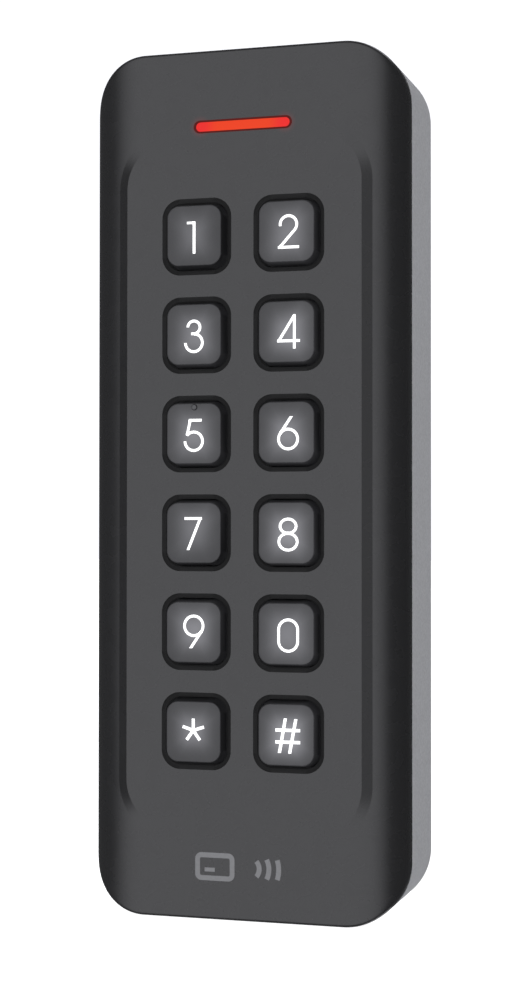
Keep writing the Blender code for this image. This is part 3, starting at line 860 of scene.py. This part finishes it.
def stroke_edges(part):
    """The left and right edge of a stroke, mitred at its corners and cut at its ends."""
    points = [part["points"][0]]
    for spot in part["points"][1:]:
        if math.hypot(spot[0] - points[-1][0], spot[1] - points[-1][1]) > 1e-4:
            points.append(spot)
    half, closed, count = part["width"] / 2, part["closed"], len(points)
    edges = []
    for i, spot in enumerate(points):
        before = points[i - 1] if i or closed else None
        after = points[(i + 1) % count] if i < count - 1 or closed else None
        into = heading(before, spot) if before else heading(spot, after)
        out = heading(spot, after) if after else into
        across = (-(into[1] + out[1]) / 2, (into[0] + out[0]) / 2)
        size = across[0] ** 2 + across[1] ** 2
        offset = (across[0] * half / size, across[1] * half / size)
        slide = 0.0
        if (before is None and part["level"][0]) or (after is None and part["level"][1]):
            slide = -offset[1] / into[1]
        left = (spot[0] + offset[0] + slide * into[0], spot[1] + offset[1] + slide * into[1])
        right = (spot[0] - offset[0] - slide * into[0], spot[1] - offset[1] - slide * into[1])
        edges.append((left, right))
    return edges


def add_stroke(mesh, part, centre, back, front):
    """A thin closed ribbon along a stroke."""
    sections = []
    for left, right in stroke_edges(part):
        section = []
        for (x, z), depth in ((left, front), (right, front), (right, back), (left, back)):
            section.append(mesh.verts.new(point(centre[0] + x, depth, centre[1] + z)))
        sections.append(section)
    pairs = list(zip(sections, sections[1:]))
    if part["closed"]:
        pairs.append((sections[-1], sections[0]))
    else:
        mesh.faces.new(sections[0])
        mesh.faces.new(sections[-1])
    for near, far in pairs:
        bridge(mesh, near, far)


def sample_strokes(parts, pitch=0.12):
    """Even samples along all strokes: the places where light leaves the legend."""
    samples = []
    for part in parts:
        points = part["points"] + (part["points"][:1] if part["closed"] else [])
        for a, b in zip(points, points[1:]):
            length = math.hypot(b[0] - a[0], b[1] - a[1])
            count = max(1, round(length / pitch))
            for i in range(count):
                t = (i + 0.5) / count
                samples.append((a[0] + (b[0] - a[0]) * t, a[1] + (b[1] - a[1]) * t, length / count))
    return samples


def glow_at(x, z, samples):
    """Light that spreads in the cap's plastic from the legend to this point, 0 to 1."""
    spread, gain = 1.7, 0.0765
    total = 0.0
    for sample_x, sample_z, weight in samples:
        square = (x - sample_x) ** 2 + (z - sample_z) ** 2
        total += weight * math.exp(-square / (2 * spread ** 2))
    return min(1.0, gain * total)


def add_pip(mesh, glow, centre, samples):
    """The small raised dot above the middle digit that a finger can feel."""
    offset = (0.10, 3.92)
    middle = (centre[0] + offset[0], centre[1] + offset[1])
    rings = []
    for radius, height in ((0.47, -0.05), (0.47, 0.03), (0.40, 0.16), (0.32, 0.20)):
        rings.append(add_ring(mesh, circle(radius, middle, 24), CAP_DEPTH + height))
    for vert in rings[-1]:
        vert[glow] = glow_at(*offset, samples)
    mesh.faces.new(rings[0])
    bridge_all(mesh, rings)
    fill(mesh, [rings[-1]])


def keycap(label):
    """A cap with a flange behind the cover and a softly rounded face, and its legend."""
    x, z = middle_of(f"key_{label}")
    mesh = bmesh.new()
    glow = mesh.verts.layers.float.new("glow")
    flange_front = PANEL - WALL - 0.3
    steps, soft, face_rings = 12, 0.24, 24
    top_w, top_h, top_r = KEY_TOP
    stations = [
        (11.5, 12.2, 2.75, flange_front - 0.9), (11.6, 12.3, 2.8, flange_front - 0.8),
        (11.6, 12.3, 2.8, flange_front - 0.1), (11.4, 12.1, 2.7, flange_front),
        (9.34, 9.84, 2.20, flange_front), (9.34, 9.84, 2.20, PANEL - 0.72),
        (9.24, 9.74, 2.15, PANEL - 0.65), (*KEY_BASE, PANEL - 0.60),
    ]
    first_lit = len(stations)
    for inset, drop in quarter_round(soft):
        size = (top_w - 2 * inset, top_h - 2 * inset, top_r - inset)
        stations.append((*size, CAP_DEPTH - drop))
    rings = [add_ring(mesh, rounded_rect(w, h, r, (x, z), steps), d) for w, h, r, d in stations]
    outline = rounded_rect(*stations[-1][:3], (0.0, 0.0), steps)
    for i in range(1, face_rings):
        scale = 1 - i / face_rings
        inner = [(x + u * scale, z + v * scale) for u, v in outline]
        rings.append(add_ring(mesh, inner, CAP_DEPTH))
    mesh.faces.new(rings[0])
    bridge_all(mesh, rings)
    middle = mesh.verts.new(point(x, CAP_DEPTH, z))
    for i, vert in enumerate(rings[-1]):
        mesh.faces.new((vert, rings[-1][(i + 1) % len(outline)], middle))
    samples = sample_strokes(LEGENDS[label])
    for vert in [vert for ring in rings[first_lit:] for vert in ring] + [middle]:
        vert[glow] = glow_at(vert.co.x / MM - x, vert.co.z / MM - z, samples)
    if label == "5":
        add_pip(mesh, glow, (x, z), samples)
    cap = make_object(f"keycap_{label}", mesh, [KEYCAP], sharp=0.0)
    weigh_normals(cap)
    body = f"key_{label}"
    place(cap, body, replaced=[body])

    mesh = bmesh.new()
    for part in LEGENDS[label]:
        add_stroke(mesh, part, (x, z), CAP_DEPTH - 0.05, LEGEND_DEPTH)
    legend = make_object(f"legend_{label}", mesh, [LEGEND], sharp=30.0)
    place(legend, body)


# ---- light bar, emblem and small hardware --------------------------------------------------------
def light_lens():
    """The red bar: a flat foot behind the cover and a softly rounded blade in the slot."""
    inner, front, lit = PANEL - WALL - 0.3, PANEL - LENS_RECESS, 0.06
    centre = (0.0, LIGHT_Z)
    wide, tall = LENS
    foot, blade = rounded_rect(17.2, 3.8, 1.2, centre), stadium(wide, tall, centre)
    stations = [(foot, inner - 1.3), (foot, inner), (blade, inner), (blade, front - 0.1)]
    for inset, drop in ((0.03, 0.03), (0.1, 0.0)):
        stations.append((stadium(wide - 2 * inset, tall - 2 * inset, centre), front - drop))
    lens = loft("light_bar_window", stations, [LENS_RED, SLOT_PAINTED_RED_LIGHT])
    # Faces behind the lens's lit front get the slot's painted red light.
    for face in lens.data.polygons:
        face.material_index = 0 if face.center.y < -(front - lit) * MM else 1
    place(lens, replaced=["light_bar_lens"])


def emblem():
    """A generic contactless-card sign printed on the cover: a card and three waves."""
    mesh = bmesh.new()
    centre, line, wave_reach = (-0.5, -57.1), 0.75, 1.45
    card = rounded_rect(5.4, 3.4, 0.6, (-3.7, 0.0), 6)
    parts = [stroke(card, line, closed=True), stroke([(-5.3, -0.45), (-3.7, -0.45)], 0.60)]
    for radius in (1.7, 3.2, 4.7):
        half = min(42.0, math.degrees(math.asin(wave_reach / radius)))
        parts.append(stroke(arc((1.5, 0.0), radius, -half, half, steps=20), line))
    for part in parts:
        add_stroke(mesh, part, centre, PANEL - 0.02, PANEL + 0.012)
    sign = make_object("contactless_emblem", mesh, [EMBLEM], sharp=30.0)
    place(sign)


def cross_screw(name, node, head_radius, shaft_radius, head, tip):
    """A pan-head screw with a cross recess, its head towards the wall."""
    centre = middle_of(node)
    head_end, shaft_end = head
    stations = [
        (head_radius - 0.9, head_end), (head_radius - 0.45, head_end + 0.08),
        (head_radius - 0.15, head_end + 0.3), (head_radius, head_end + 0.6),
        (head_radius, shaft_end - 0.1), (head_radius - 0.1, shaft_end), (shaft_radius, shaft_end),
    ]
    pitch, groove = 0.56, 0.22
    thread = shaft_end + 0.6
    while thread < tip - 1.2:
        stations += [(shaft_radius - groove, thread), (shaft_radius, thread + pitch / 2)]
        thread += pitch
    stations += [(shaft_radius * 0.8, tip - 0.6), (shaft_radius * 0.4, tip)]
    piece = turned(name, stations, centre, [STEEL], steps=32)
    arm, half_width = head_radius * 0.55, 0.36
    cross = []
    for turn_x, turn_z in ((1, 0), (0, 1), (-1, 0), (0, -1)):
        for u, v in ((arm, -half_width), (arm, half_width), (half_width, half_width)):
            across, up = u * turn_x - v * turn_z, u * turn_z + v * turn_x
            cross.append((centre[0] + across, centre[1] + up))
    combine(piece, cutter(cross, head_end - 1.0, head_end + 0.8))
    shade(piece, 35.0)
    place(piece, replaced=[node])


def lock_screw():
    """Socket screw in the bottom edge that locks the housing to the wall plate."""
    stations = [(2.3, -64.95), (2.5, -64.9), (2.6, -64.7), (2.6, -64.2), (2.5, -64.1), (1.1, -64.1)]
    height, pitch = -63.6, 0.5
    while height < -55.2:
        stations += [(0.9, height), (1.1, height + pitch / 2)]
        height += pitch
    stations += [(0.8, -54.5)]
    centre = (0.0, LOCK_DEPTH)
    piece = turned_upright("lock_screw_socket", stations, centre, [STEEL], steps=40)
    hexagon = [(1.25, -66.0), (1.25, -64.25)]
    combine(piece, turned_upright("cutter", hexagon, centre, [], steps=6))
    shade(piece, 35.0)
    place(piece, replaced=["lock_screw"])


def tamper_plunger():
    """A pin with a collar. Its tip stands proud of the back and meets the wall."""
    stations = [
        (0.55, -0.78), (0.85, -0.7), (1.1, -0.45), (1.2, -0.1), (1.2, 3.2), (2.1, 3.2), (2.2, 3.3),
        (2.2, 3.8), (2.1, 3.9), (1.2, 3.9), (1.2, 8.1), (1.0, 8.3),
    ]
    piece = turned("tamper_pin", stations, TAMPER, [WHITE], steps=40, sharp=35.0)
    place(piece, "tamper_plunger", replaced=["tamper_plunger"])


FINISHED_NODES = {
    "cover_gasket": RUBBER,
    "keypad_mat": SILICONE,
    "light_bar_shroud": BLACK,
    "status_led_left": LED,
    "status_led_right": LED,
    "main_board": BOARD_GREEN,
    "antenna_coil": COPPER,
    "microcontroller": CHIP,
    "card_reader_chip": CHIP,
    "buzzer": BLACK,
    "capacitor": STEEL,
    "cable_header": WHITE,
    "tamper_switch": BLACK,
    "tamper_spring": STEEL,
}
FINISHED_NODES.update({f"key_light_{row}": LED for row in range(1, 7)})
FINISHED_NODES.update({f"contact_pill_{label}": CARBON for label in KEYS})


def finish_cad_nodes():
    """Give the CAD nodes that stay their own procedural materials."""
    for name, material in FINISHED_NODES.items():
        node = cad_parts[name]
        for slot in node.material_slots:
            slot.material = material


# ---- stage ---------------------------------------------------------------------------------------
def add_floor():
    """A plain pale floor that the reader stands on, as white as the background."""
    reach, height = 3000.0, -(HALF_H + 0.05)
    mesh = bmesh.new()
    corners = ((-reach, reach), (reach, reach), (reach, -reach), (-reach, -reach))
    mesh.faces.new([mesh.verts.new(point(x, depth, height)) for x, depth in corners])
    material = glowing("pale_floor", (1.0, 1.0, 1.0), roughness=0.9)
    floor = make_object("floor", mesh, [material], sharp=0.0)
    floor.visible_diffuse = False
    floor.visible_glossy = False
    floor.visible_shadow = False


def add_camera():
    """The reference view: the reader from the front and a little from its right."""
    data = bpy.data.cameras.new("camera")
    data.lens = 67.191
    data.sensor_width = 36.0
    data.sensor_fit = "AUTO"
    data.clip_start = 0.01
    data.clip_end = 100.0
    camera = bpy.data.objects.new("camera", data)
    bpy.context.scene.collection.objects.link(camera)
    camera.location = (0.0824316, -0.2843980, -0.0067028)
    yaw, pitch, roll = 0.2894, 0.0151, 0.0007
    level = math.cos(pitch)
    aim = Vector((-math.sin(yaw) * level, math.cos(yaw) * level, math.sin(pitch)))
    camera.rotation_euler = aim.to_track_quat("-Z", "Y").to_euler()
    camera.rotation_euler.rotate_axis("Z", roll)
    bpy.context.scene.camera = camera


def add_studio():
    """White surroundings for the camera; for lighting, a dim room with one wide softbox in front.

    More lamps stand to the right and behind, high and low, and light the housing's side and back.
    """
    room, softbox, high, backdrop = 0.107, 1.65, 3.3, 1.1
    world = bpy.data.worlds.new("studio")
    bpy.context.scene.world = world
    world.use_nodes = True
    tree = world.node_tree
    axes = add_node(tree, "ShaderNodeSeparateXYZ")
    coords = add_node(tree, "ShaderNodeTexCoord")
    tree.links.new(coords.outputs["Generated"], axes.inputs[0])
    rise = math_node(tree, "ABSOLUTE", axes.outputs["Z"])

    def by_height(start, end):
        """Smooth step between two heights above or below the horizon, in degrees."""
        return ease(tree, rise, math.sin(math.radians(start)), math.sin(math.radians(end)))

    def multiply(*values):
        return math_node(tree, "MULTIPLY", *values)

    turn = math_node(tree, "ARCTAN2", axes.outputs["X"], multiply(axes.outputs["Y"], -1.0))
    right = ease(tree, turn, math.radians(52), math.radians(18))
    left = ease(tree, turn, math.radians(-68), math.radians(-34))
    front = multiply(multiply(multiply(right, left), by_height(46, 28)), softbox)

    beside = ease(tree, axes.outputs["X"], 0.15, 0.35)
    aside = multiply(beside, ease(tree, axes.outputs["Y"], -0.05, 0.15))
    behind = ease(tree, axes.outputs["Y"], 0.30, 0.60)
    sides = math_node(tree, "MAXIMUM", aside, behind)
    lamps = multiply(multiply(by_height(38, 52), by_height(86, 78)), sides)
    surround = math_node(tree, "MULTIPLY_ADD", lamps, high - room, room)

    light = math_node(tree, "MAXIMUM", surround, front)
    path = add_node(tree, "ShaderNodeLightPath")
    seen = multiply(path.outputs["Is Camera Ray"], backdrop)
    background = tree.nodes["Background"]
    background.inputs["Color"].default_value = (0.985, 0.99, 1.03, 1.0)
    tree.links.new(math_node(tree, "MAXIMUM", light, seen), background.inputs["Strength"])
    view = bpy.context.scene.view_settings
    view.view_transform = "Standard"
    view.look = "None"


def main():
    add_camera()
    front_cover()
    rear_housing()
    wall_plate()
    cable_grommet()
    for label in KEYS:
        keycap(label)
    light_lens()
    emblem()
    for corner in ("top_left", "top_right", "bottom_left", "bottom_right"):
        casing, board = f"cover_screw_{corner}", f"board_screw_{corner}"
        cross_screw(f"casing_screw_{corner}", casing, 2.3, 1.25, (2.4, 4.1), 13.9)
        cross_screw(f"pcb_screw_{corner}", board, 2.1, 1.0, (8.5, 10.0), 15.6)
    lock_screw()
    tamper_plunger()
    finish_cad_nodes()
    add_floor()
    add_studio()


main()
